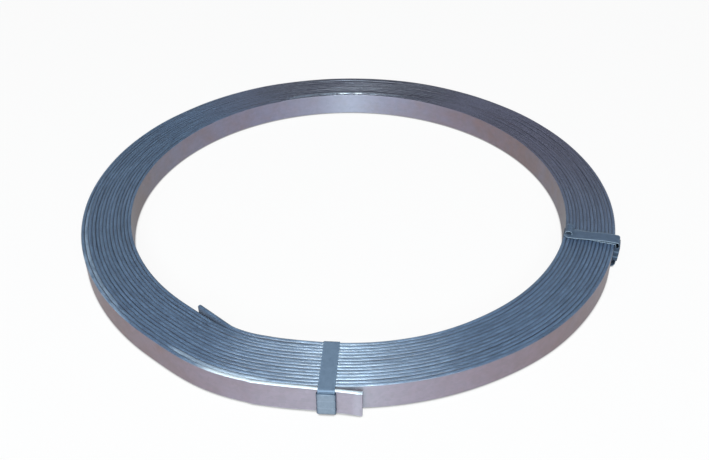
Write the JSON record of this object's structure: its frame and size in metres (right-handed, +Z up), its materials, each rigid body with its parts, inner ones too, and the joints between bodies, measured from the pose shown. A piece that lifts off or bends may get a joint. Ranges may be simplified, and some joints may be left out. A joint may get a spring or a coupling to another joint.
{
  "type": "steel strip coil",
  "caption": "Flat coil of galvanised steel strip wound on edge, with a sprung inner end, a lapped outer end and two sealed steel straps; raw stock to be unwound.",
  "frame": {"origin": "coil axis at floor level, which is the underside of the straps", "axes": "+Z up along the coil axis; -Y towards the viewer of the picture, so the front strap is near -Y; +X to the right, so the side strap is near +X"},
  "size_m": [0.6394, 0.6473, 0.0427],
  "materials": {
    "strip": "zinc-coated hot-rolled strip, dull, blue-grey edges and mauve-grey faces",
    "strapping": "blued steel strapping, satin",
    "seal": "bright zinc-coated sheet, satin"
  },
  "bodies": {
    "root": {"strip_coil": "strip", "front_strap": "strapping", "front_seal": "seal", "side_strap": "strapping", "side_seal": "seal"}
  },
  "joints": []
}
